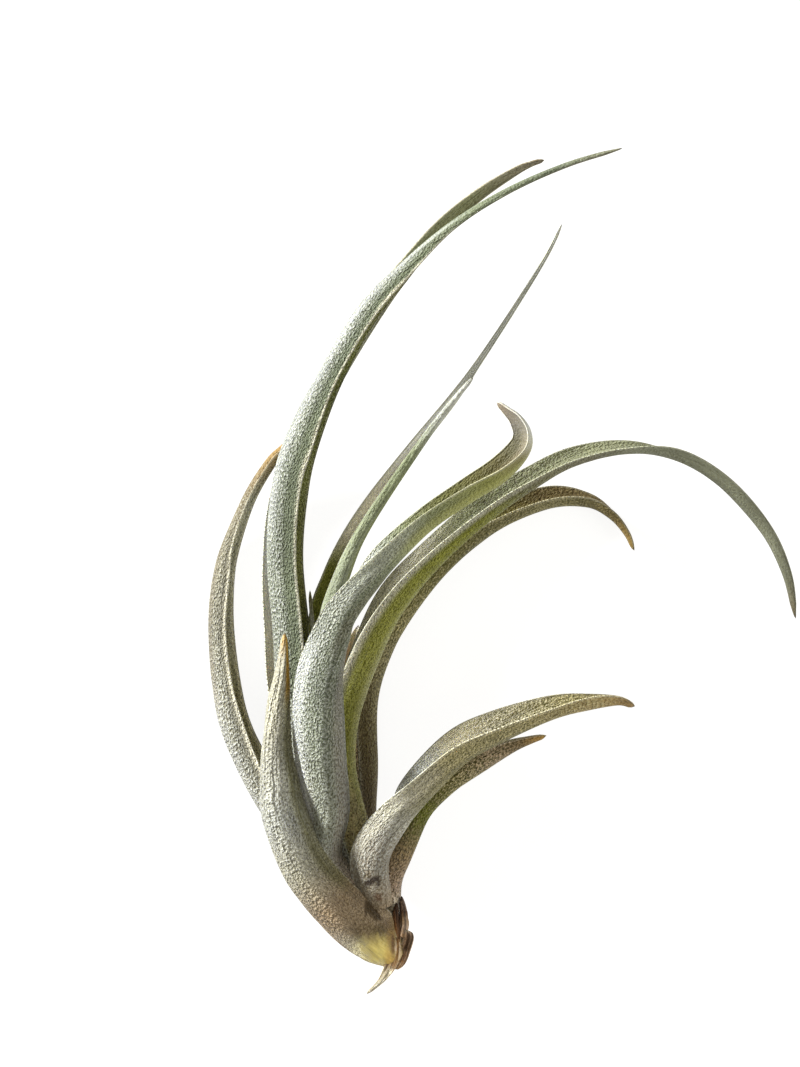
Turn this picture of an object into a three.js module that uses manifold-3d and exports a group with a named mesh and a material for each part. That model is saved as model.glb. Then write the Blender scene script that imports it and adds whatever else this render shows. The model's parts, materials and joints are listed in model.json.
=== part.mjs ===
import * as THREE from 'three';
import { mergeVertices } from 'three/addons/utils/BufferGeometryUtils.js';
import Module from 'manifold-3d';

// Air plant with thirteen channelled leaves on a short stem, lying on its back.
// Millimetres, +Z up, with the surface it rests on at z = 0.
// Leaf stations are measured from the foot of the plant, which is at FOOT in the finished part.
const FOOT = new THREE.Vector3(-22.1, -75.3, 0);
const GAP = 0.3;                 // clearance between neighbouring pieces
const COLUMNS = 6;               // strips across a leaf, margin to margin
const RINGS_PER_STATION = 2;     // rings along a leaf, for each station
const SECTION_STEPS = 24;        // steps that a leaf's half section is worked out in
const MARGIN = 0.62;             // thickness of a leaf at its margins
const RIB_LEAST = 0.6;           // thickness at the midrib of a leaf of no width
const RIB_SLOPE = 0.11;          // how the midrib thickens with the leaf's width
const RIB_MOST = 2.0;            // thickness of the midrib of a broad leaf
const NARROW = 3;                // below this width a leaf's section is a plain round trough
const BROAD = 9;                 // above it the midrib has its full keel
const KEEL = 0.5;                // exponent of the turn from midrib to margin: 1 is round, less is keeled
const LEAF_DOME = 0.35;          // how far the foot of a leaf bulges
const STEM_DOME = 1;             // how far both ends of the stem bulge
const STEM_RINGS = 8;            // stretches along the stem
const GROUND = 400;              // side of the block that stands for everything below the surface
const GROUND_DEPTH = 20;
const MERGE = 1e-4;              // points nearer than this are one

const STEM = {
  points: [[-0.8, 0.6, 12.4], [-2.4, 5, 12.6], [-5, 12, 13], [-8, 20, 13.6]],
  radius: [3.2, 4.4, 4.0, 2.2],
  sides: 14,
};

// The dry scales come first, then the leaves: each is cut clear of those before it.
// Each station: x, y, z, flat width, curl of the margins and facing of the channel, both in degrees.
// Facing 0 looks to the left of the leaf's run, 90 looks up, 180 to the right and -90 down.
const LEAVES = [
  {
    name: 'scale_dry_left',
    colour: 0x3d2a1c,
    stations: [
      [1, 1.6, 17.4, 1.6, 50, -60],
      [0.9, 4.4, 17.4, 2, 50, -60],
      [0.8, 7, 17.2, 1.6, 50, -60],
      [0.8, 9.4, 16.8, 0.6, 40, -60],
    ],
  },
  {
    name: 'scale_dry_right',
    colour: 0x4a3323,
    stations: [
      [2.2, 2.6, 16.2, 2, 55, -40],
      [2.5, 5, 16.2, 2.6, 55, -40],
      [2.2, 7.8, 16, 2, 50, -40],
      [1.8, 10.7, 15.6, 0.6, 40, -40],
    ],
  },
  {
    name: 'scale_dry_curled',
    colour: 0x8a6a52,
    stations: [
      [0.6, -3.9, 15.6, 1.2, 50, 90],
      [1.5, -2.3, 16, 3.2, 70, 85],
      [2.1, 0.1, 16.4, 4.6, 75, 80],
      [2.7, 2.4, 16.8, 4.4, 70, 80],
      [2.8, 4, 17, 1.6, 50, 80],
    ],
  },
  {
    name: 'strip_dry',
    colour: 0xb59b7d,
    stations: [
      [0.9, 2.2, 18.6, 0.8, 40, 90],
      [0.3, -0.6, 18.6, 1.4, 40, 90],
      [-0.2, -2.8, 17.8, 1.5, 40, 90],
      [-1.5, -5.2, 16.8, 1.1, 40, 80],
      [-2.9, -7, 16, 0.8, 40, 80],
      [-5.1, -9, 15.4, 0.4, 40, 80],
    ],
  },
  {
    name: 'leaf_front_left_short',
    colour: 0xa9a78f,
    stations: [
      [0.6, -2, 15.6, 6.6, 55, -100],
      [-1.8, 0.1, 17.2, 13, 62, -102],
      [-5, 3.1, 18.8, 16.8, 65, -105],
      [-11.2, 8.2, 21, 16, 68, -108],
      [-18, 16.5, 22, 15.5, 70, -112],
      [-22.3, 27.4, 22.5, 14.5, 72, -115],
      [-23.1, 33.8, 22.5, 12.3, 72, -115],
      [-23.4, 40.4, 22.3, 9.5, 74, -115],
      [-23, 48, 22.2, 6.8, 72, -115],
      [-22.3, 53.2, 22.2, 4.6, 68, -110],
      [-21.7, 59, 22.3, 2.2, 60, -105],
      [-21.4, 63.6, 22.4, 0.9, 50, -100],
    ],
  },
  {
    name: 'leaf_front_right_upper',
    colour: 0xb3ae95,
    stations: [
      [-2.4, 8.8, 18, 9, 70, -70],
      [-3.7, 18.2, 20, 12.8, 74, -55],
      [0.2, 26.2, 21.5, 12.8, 78, -25],
      [4, 31.6, 22.3, 13, 80, 8],
      [12.6, 40, 23.5, 13, 80, 24],
      [20.3, 44.1, 24, 11.7, 78, 31],
      [31.2, 48.2, 24.3, 8.4, 75, 30],
      [39.6, 49.9, 24.2, 6.8, 70, 6],
      [45.2, 50.2, 23.8, 4.4, 62, 0],
      [48.4, 48.9, 23.4, 2.6, 50, 0],
    ],
  },
  {
    name: 'leaf_centre_hooked',
    colour: 0xb9bdae,
    stations: [
      [-6, 11, 17, 8, 70, -90],
      [-13, 18.4, 18.6, 10, 70, -88],
      [-12.8, 28.4, 21, 14, 72, -85],
      [-13.8, 38, 23.5, 15.8, 72, -82],
      [-14.1, 47, 25, 16, 72, -78],
      [-13.5, 55, 26.5, 15.4, 75, -68],
      [-11.4, 63.3, 28.5, 12.8, 78, -45],
      [-9.2, 68.4, 29.8, 11.6, 80, -25],
      [-2.7, 77.3, 32, 11, 80, 8],
      [6, 85.5, 34, 9.2, 80, 14],
      [14.9, 91.6, 36, 9.2, 78, 19],
      [21.3, 95.7, 37.2, 9, 70, 26],
      [25.3, 99.8, 38, 7.6, 60, 32],
      [25.9, 102.9, 38.2, 5.8, 55, 36],
      [24.5, 105.7, 38, 3.8, 50, 40],
      [22.6, 107.5, 37.6, 2.2, 50, 40],
      [20.6, 109.2, 37.2, 1, 50, 40],
    ],
  },
  {
    name: 'leaf_left_outer',
    colour: 0xb5b2a2,
    stations: [
      [-6, 8, 8.3, 12, 70, 150],
      [-12.4, 15.9, 7.9, 13, 70, 150],
      [-21.6, 25.3, 6.9, 12.5, 75, 155],
      [-27.6, 35.4, 5.7, 12.6, 80, 164],
      [-31.6, 44.4, 4.3, 12, 80, 170],
      [-33.6, 53.1, 3.1, 10.6, 80, 165],
      [-34.7, 64.5, 2.5, 9.5, 80, 164],
      [-34, 74.6, 2.3, 8.2, 80, 170],
      [-32.5, 81.4, 2.5, 6.6, 75, 163],
      [-29, 90.4, 3.3, 5, 70, 162],
      [-24.7, 97.5, 4.3, 4, 65, 160],
      [-21.9, 100.5, 4.9, 3, 60, 160],
      [-19.3, 103.5, 5.7, 1.3, 50, 160],
    ],
  },
  {
    name: 'leaf_front_right_lower',
    colour: 0x8b8264,
    stations: [
      [-0.6, 6.6, 14, 9, 70, -60],
      [-0.6, 13.6, 15, 10.5, 72, -50],
      [1.4, 19, 15.5, 10.6, 75, -35],
      [5.1, 27.5, 15.5, 10.6, 78, -20],
      [10.1, 32.8, 15.2, 9.8, 78, -10],
      [15.9, 36.8, 15, 8.6, 76, -5],
      [22.8, 40.4, 14.8, 6.6, 70, 0],
      [27.6, 42, 14.6, 4.2, 60, 0],
      [31, 42.8, 14.4, 1.6, 50, 0],
    ],
  },
  {
    name: 'leaf_left_tall',
    colour: 0xb4b8ab,
    stations: [
      [-8, 14, 13, 9, 70, 165],
      [-12.4, 26, 14, 12, 72, 167],
      [-17.2, 40, 14.6, 13.4, 76, 169],
      [-19.6, 52, 15.2, 14.4, 80, 171],
      [-20, 62, 16, 15, 80, 171],
      [-21.3, 78, 18, 14.4, 80, 171],
      [-20.4, 92, 20, 15, 80, 170],
      [-17.7, 101.8, 21.5, 14, 80, 174],
      [-12.4, 113.9, 23.5, 10, 80, 170],
      [-5, 126.6, 25.5, 9.2, 78, 173],
      [2.7, 135.3, 26.8, 7, 72, 180],
      [11.5, 144, 28, 3.2, 62, 200],
      [22.4, 150.9, 29, 1.9, 55, 208],
      [34.4, 156.2, 29.6, 1.3, 50, 210],
      [45.7, 159.6, 30, 0.8, 50, 210],
    ],
  },
  {
    name: 'leaf_right_long',
    colour: 0x97a07a,
    stations: [
      [-4, 14, 12.5, 9, 70, -20],
      [-6.6, 22, 13.5, 11, 72, -15],
      [-10.4, 36, 15, 12.5, 76, -8],
      [-9.5, 48, 16, 12.5, 78, -2],
      [-5.1, 60.5, 17.5, 12.2, 80, 4],
      [0.4, 70.5, 18.5, 11.8, 80, 17],
      [7.8, 78.8, 19.5, 9.8, 80, 24],
      [18.7, 88.2, 20.5, 9.2, 80, 34],
      [27.4, 93.8, 21, 7.8, 78, 37],
      [36, 98.3, 21, 6.3, 75, 41],
      [46.6, 100.4, 20.5, 5.1, 70, 26],
      [57, 99, 19, 5.2, 65, -16],
      [66.7, 93.3, 16.5, 5.4, 65, -22],
      [74.9, 84.2, 13.5, 5, 65, -22],
      [79.4, 75.2, 10.5, 3.8, 60, -20],
      [81.4, 66.1, 8, 1.2, 50, -20],
    ],
  },
  {
    name: 'leaf_right_middle',
    colour: 0x8c8465,
    stations: [
      [-3, 10.9, 7.5, 9, 70, 40],
      [-5.8, 23.9, 6.5, 11, 72, 30],
      [-5.8, 36, 5.8, 11.5, 76, 20],
      [-5.7, 50, 5, 11, 78, 12],
      [-2.2, 61.1, 4.4, 10.5, 80, 8],
      [4, 70.8, 3.8, 10, 80, 12],
      [11.9, 79.6, 3.2, 9.5, 80, 20],
      [20.7, 86, 2.6, 9, 78, 33],
      [31.5, 90.3, 2, 7.6, 75, 34],
      [39.6, 90.1, 2, 5.8, 70, 14],
      [44.6, 87.2, 2.2, 4.2, 65, 0],
      [47.7, 83.4, 2.4, 2.8, 60, 0],
      [49.1, 79.8, 2.6, 1.2, 50, 0],
    ],
  },
  {
    name: 'leaf_centre_short',
    colour: 0xa5ab93,
    stations: [
      [-11.4, 24, 17, 4.4, 60, -90],
      [-12, 38, 18.5, 4.6, 62, -90],
      [-13, 54, 19.5, 4.4, 64, -88],
      [-12.8, 65.6, 20.4, 4.2, 66, -80],
      [-10.2, 74, 21.2, 4, 66, -75],
      [-6.8, 82, 22, 3, 64, -72],
      [-1.9, 90, 22.8, 2.4, 62, -70],
      [4, 98.6, 23.6, 1.9, 60, -70],
      [9.3, 106, 24.2, 1.4, 55, -70],
      [13.1, 110.8, 24.6, 1.1, 50, -70],
      [16.2, 114.4, 24.8, 0.7, 50, -70],
    ],
  },
  {
    name: 'leaf_left_rear',
    colour: 0x9aa18f,
    stations: [
      [-5, 11, 8, 9, 70, 100],
      [-13.6, 26, 6.5, 9.4, 65, 105],
      [-19.6, 40, 5.5, 9, 60, 108],
      [-22.4, 52, 5.4, 8.6, 60, 110],
      [-23.2, 63, 5.6, 8.2, 60, 110],
      [-23.7, 76, 6.6, 7.8, 60, 110],
      [-22.5, 89.6, 8, 7.2, 60, 110],
      [-18, 104, 10, 6.2, 60, 112],
      [-11, 117, 12, 5.6, 60, 114],
      [-3, 129.4, 14, 5, 60, 116],
      [2.4, 136.4, 15, 4.4, 60, 118],
      [9.8, 144.9, 16, 3.6, 58, 118],
      [17.2, 151.1, 16.8, 2.8, 55, 118],
      [24.4, 155.7, 17.4, 1.9, 52, 118],
      [27.9, 157.3, 17.7, 1.1, 50, 118],
      [30.5, 158, 18, 0.7, 50, 118],
    ],
  },
  {
    name: 'leaf_centre_long',
    colour: 0x8f9a70,
    stations: [
      [-7.4, 18, 12, 4.5, 60, 90],
      [-12, 38, 12.4, 5, 60, 90],
      [-14.4, 54, 13.2, 5, 60, 90],
      [-14.6, 66.4, 14, 5, 60, 95],
      [-12.2, 74.5, 14.8, 4.6, 60, 100],
      [-8.6, 82.2, 15.6, 4.2, 60, 100],
      [-3.4, 90.2, 16.6, 3.9, 60, 100],
      [4.4, 100.6, 18, 2.9, 60, 100],
      [12.2, 110.3, 19.4, 2.1, 55, 100],
      [17.3, 117.5, 20.2, 1.2, 50, 100],
      [24.5, 128.4, 21.2, 0.8, 50, 100],
      [30.6, 138.3, 22, 0.6, 50, 100],
      [33.9, 145, 22.4, 0.5, 50, 100],
    ],
  },
  {
    name: 'leaf_centre_youngest',
    colour: 0x868a5a,
    stations: [
      [-11, 24, 15.4, 2.6, 60, 180],
      [-13.4, 42, 15.8, 2.6, 60, 180],
      [-15, 56, 16.4, 2.2, 60, 180],
      [-15.9, 66, 16.9, 1.4, 55, 180],
      [-16.4, 72, 17.2, 0.9, 50, 180],
    ],
  },
  {
    name: 'leaf_back_short',
    colour: 0xa08c62,
    stations: [
      [-1.6, 2.6, 9.2, 8, 70, 90],
      [-3.4, 9, 7, 11, 68, 90],
      [-7.4, 20, 3.1, 13.5, 60, 90],
      [-10, 34, 2.8, 13, 55, 90],
      [-10.4, 44, 3, 11, 52, 90],
      [-9.4, 52, 3.2, 7.5, 50, 90],
      [-8, 59, 3.6, 4, 50, 90],
      [-6.8, 64.8, 4.2, 1.3, 50, 90],
    ],
  },
];

const wasm = await Module();
wasm.setup();

// Curves through the stations: the spine, and width, curl and facing as a second curve
function leafCurves(stations) {
  const spine = stations.map(([x, y, z]) => new THREE.Vector3(x, y, z));
  const shape = stations.map(([, , , width, curl, facing]) => new THREE.Vector3(width, curl, facing));
  return [spine, shape].map((points) => new THREE.CatmullRomCurve3(points, false, 'catmullrom', 0.5));
}

// Directions across a leaf: where its channel faces, and its breadth
function leafAxes(tangent, facing) {
  const left = new THREE.Vector3(-tangent.y, tangent.x, 0).normalize();
  const up = new THREE.Vector3().crossVectors(tangent, left);
  const face = left.clone().multiplyScalar(Math.cos(facing)).addScaledVector(up, Math.sin(facing));
  const breadth = up.clone().multiplyScalar(Math.cos(facing)).addScaledVector(left, -Math.sin(facing));
  return { face, breadth };
}

// Half of a leaf's section as points from midrib to margin, each with the angle of the blade there
function halfSection(width, curl) {
  const keel = THREE.MathUtils.lerp(1, KEEL, THREE.MathUtils.smoothstep(width, NARROW, BROAD));
  const points = [{ across: 0, deep: 0, turn: 0 }];
  let across = 0;
  let deep = 0;
  for (let i = 0; i < SECTION_STEPS; i += 1) {
    const turn = curl * ((i + 0.5) / SECTION_STEPS) ** keel;
    across += Math.cos(turn) * width / 2 / SECTION_STEPS;
    deep += Math.sin(turn) * width / 2 / SECTION_STEPS;
    if ((i + 1) % (SECTION_STEPS * 2 / COLUMNS) === 0) {
      points.push({ across, deep, turn: curl * ((i + 1) / SECTION_STEPS) ** keel });
    }
  }
  return points;
}

// One ring of a leaf: its outer face from margin to margin, then its channel face back again
function leafRing(spine, shape, t, extra) {
  const { x: width, y: curl, z: facing } = shape.getPoint(t);
  const { face, breadth } = leafAxes(spine.getTangent(t), THREE.MathUtils.degToRad(facing));
  const half = halfSection(width, THREE.MathUtils.degToRad(curl));
  const middle = half[half.length - 1].deep / 2;
  const rib = Math.min(RIB_MOST, RIB_LEAST + RIB_SLOPE * width);
  const centre = spine.getPoint(t);
  const rows = [];
  for (const side of [-1, 1]) {
    for (let i = -COLUMNS / 2; i <= COLUMNS / 2; i += 1) {
      const column = side * i;
      const point = half[Math.abs(column)];
      const share = 2 * Math.abs(column) / COLUMNS;
      const grow = share === 1 ? extra : 0;
      const thick = (rib + (MARGIN - rib) * share ** 2) / 2 + extra;
      const turn = Math.sign(column) * point.turn;
      const flat = Math.sign(column) * (point.across + grow * Math.cos(point.turn));
      const across = flat - side * Math.sin(turn) * thick;
      const deep = point.deep - middle + grow * Math.sin(point.turn) + side * Math.cos(turn) * thick;
      rows.push(centre.clone().addScaledVector(breadth, across).addScaledVector(face, deep));
    }
  }
  return rows;
}

// A closed solid through rings of points, with a point at each end
function ringsToSolid(rings, first, last) {
  const count = rings[0].length;
  const positions = [...rings.flat(), first, last].flatMap((p) => [p.x, p.y, p.z]);
  const foot = rings.length * count;
  const index = [];
  for (let i = 0; i < count; i += 1) {
    const next = (i + 1) % count;
    index.push(foot, next, i);
    const top = (rings.length - 1) * count;
    index.push(foot + 1, top + i, top + next);
    for (let r = 0; r + 1 < rings.length; r += 1) {
      const a = r * count + i;
      const b = r * count + next;
      index.push(a, b, b + count, a, b + count, a + count);
    }
  }
  const geometry = new THREE.BufferGeometry();
  geometry.setAttribute('position', new THREE.Float32BufferAttribute(positions, 3));
  geometry.setIndex(index);
  return geometry;
}

function leafGeometry(stations, extra = 0) {
  const [spine, shape] = leafCurves(stations);
  const steps = (stations.length - 1) * RINGS_PER_STATION;
  const rings = [];
  for (let i = 0; i < steps; i += 1) {
    rings.push(leafRing(spine, shape, i / steps, extra));
  }
  const base = centroid(rings[0]).addScaledVector(spine.getTangent(0), -LEAF_DOME - extra);
  const tip = spine.getPoint(1).addScaledVector(spine.getTangent(1), extra);
  return ringsToSolid(rings, base, tip);
}

function centroid(points) {
  return points.reduce((sum, p) => sum.add(p), new THREE.Vector3()).divideScalar(points.length);
}

// The short stem: round rings along a curve, domed at both ends
function stemGeometry(extra = 0) {
  const curve = new THREE.CatmullRomCurve3(STEM.points.map((p) => new THREE.Vector3(...p)));
  const rings = [];
  for (let i = 0; i <= STEM_RINGS; i += 1) {
    const t = i / STEM_RINGS;
    const { face, breadth } = leafAxes(curve.getTangent(t), 0);
    const at = t * (STEM.radius.length - 1);
    const low = Math.min(Math.floor(at), STEM.radius.length - 2);
    const radius = extra + THREE.MathUtils.lerp(STEM.radius[low], STEM.radius[low + 1], at - low);
    const ring = [];
    for (let k = 0; k < STEM.sides; k += 1) {
      const angle = 2 * Math.PI * k / STEM.sides;
      const point = curve.getPoint(t);
      point.addScaledVector(breadth, Math.cos(angle) * radius);
      point.addScaledVector(face, -Math.sin(angle) * radius);
      ring.push(point);
    }
    rings.push(ring);
  }
  const foot = curve.getPoint(0).addScaledVector(curve.getTangent(0), -STEM_DOME - extra);
  const top = curve.getPoint(1).addScaledVector(curve.getTangent(1), STEM_DOME + extra);
  return ringsToSolid(rings, foot, top);
}

function toManifold(geometry) {
  const merged = mergeVertices(geometry, MERGE);
  const mesh = new wasm.Mesh({
    numProp: 3,
    vertProperties: new Float32Array(merged.getAttribute('position').array),
    triVerts: new Uint32Array(merged.getIndex().array),
  });
  return new wasm.Manifold(mesh);
}

function toGeometry(solid) {
  const { vertProperties, triVerts } = solid.getMesh();
  const geometry = new THREE.BufferGeometry();
  geometry.setAttribute('position', new THREE.Float32BufferAttribute(vertProperties, 3));
  geometry.setIndex(Array.from(triVerts));
  geometry.computeVertexNormals();
  return geometry;
}

// The largest body of a cut solid, without the scraps that the cut leaves loose
function largestBody(solid) {
  return solid.decompose().reduce((a, b) => (a.volume() >= b.volume() ? a : b));
}

// Everything below the surface that the plant lies on, as one block
function groundGeometry() {
  const block = new THREE.BoxGeometry(GROUND, GROUND, GROUND_DEPTH);
  block.translate(0, 0, -GROUND_DEPTH / 2);
  block.deleteAttribute('normal');
  block.deleteAttribute('uv');
  return block;
}

function addMesh(group, name, colour, solid) {
  const material = new THREE.MeshStandardMaterial({ color: colour, roughness: 0.8, metalness: 0 });
  const mesh = new THREE.Mesh(toGeometry(solid), material);
  mesh.name = name;
  group.add(mesh);
}

const plant = new THREE.Group();
plant.position.copy(FOOT);
const ground = toManifold(groundGeometry());
const stem = toManifold(stemGeometry());
addMesh(plant, 'stem', 0x8a7a58, stem);
const taken = [toManifold(stemGeometry(GAP))];
for (const { name, colour, stations } of LEAVES) {
  let leaf = toManifold(leafGeometry(stations)).subtract(ground);
  for (const other of taken) {
    leaf = leaf.subtract(other);
  }
  addMesh(plant, name, colour, largestBody(leaf));
  taken.push(toManifold(leafGeometry(stations, GAP)));
}

const part = new THREE.Group();
part.add(plant);
export default part;
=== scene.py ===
"""An air plant of the karwinskiana kind, lying on a pale floor and seen from above."""

import json
import math

import bpy
import numpy as np
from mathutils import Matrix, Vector


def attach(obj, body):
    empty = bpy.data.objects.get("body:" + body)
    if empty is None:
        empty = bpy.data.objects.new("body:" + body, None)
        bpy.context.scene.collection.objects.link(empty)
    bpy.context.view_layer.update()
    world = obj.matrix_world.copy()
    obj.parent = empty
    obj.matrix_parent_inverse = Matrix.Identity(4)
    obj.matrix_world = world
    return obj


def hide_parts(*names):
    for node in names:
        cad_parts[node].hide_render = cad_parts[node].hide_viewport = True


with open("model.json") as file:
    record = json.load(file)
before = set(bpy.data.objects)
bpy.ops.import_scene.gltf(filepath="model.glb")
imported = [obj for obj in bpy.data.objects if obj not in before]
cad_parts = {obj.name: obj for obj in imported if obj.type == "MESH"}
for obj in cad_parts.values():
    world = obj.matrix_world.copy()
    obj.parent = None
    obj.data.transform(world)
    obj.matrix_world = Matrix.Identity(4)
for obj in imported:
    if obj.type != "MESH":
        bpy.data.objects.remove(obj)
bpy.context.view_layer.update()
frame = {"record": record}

# Lengths are in millimetres until a mesh is made, except those of the floor and the lights.
MM = 0.001
FOOT = np.array([-22.1, -75.3, 0.0])  # where the stations are measured from
BODY = "root"

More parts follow.
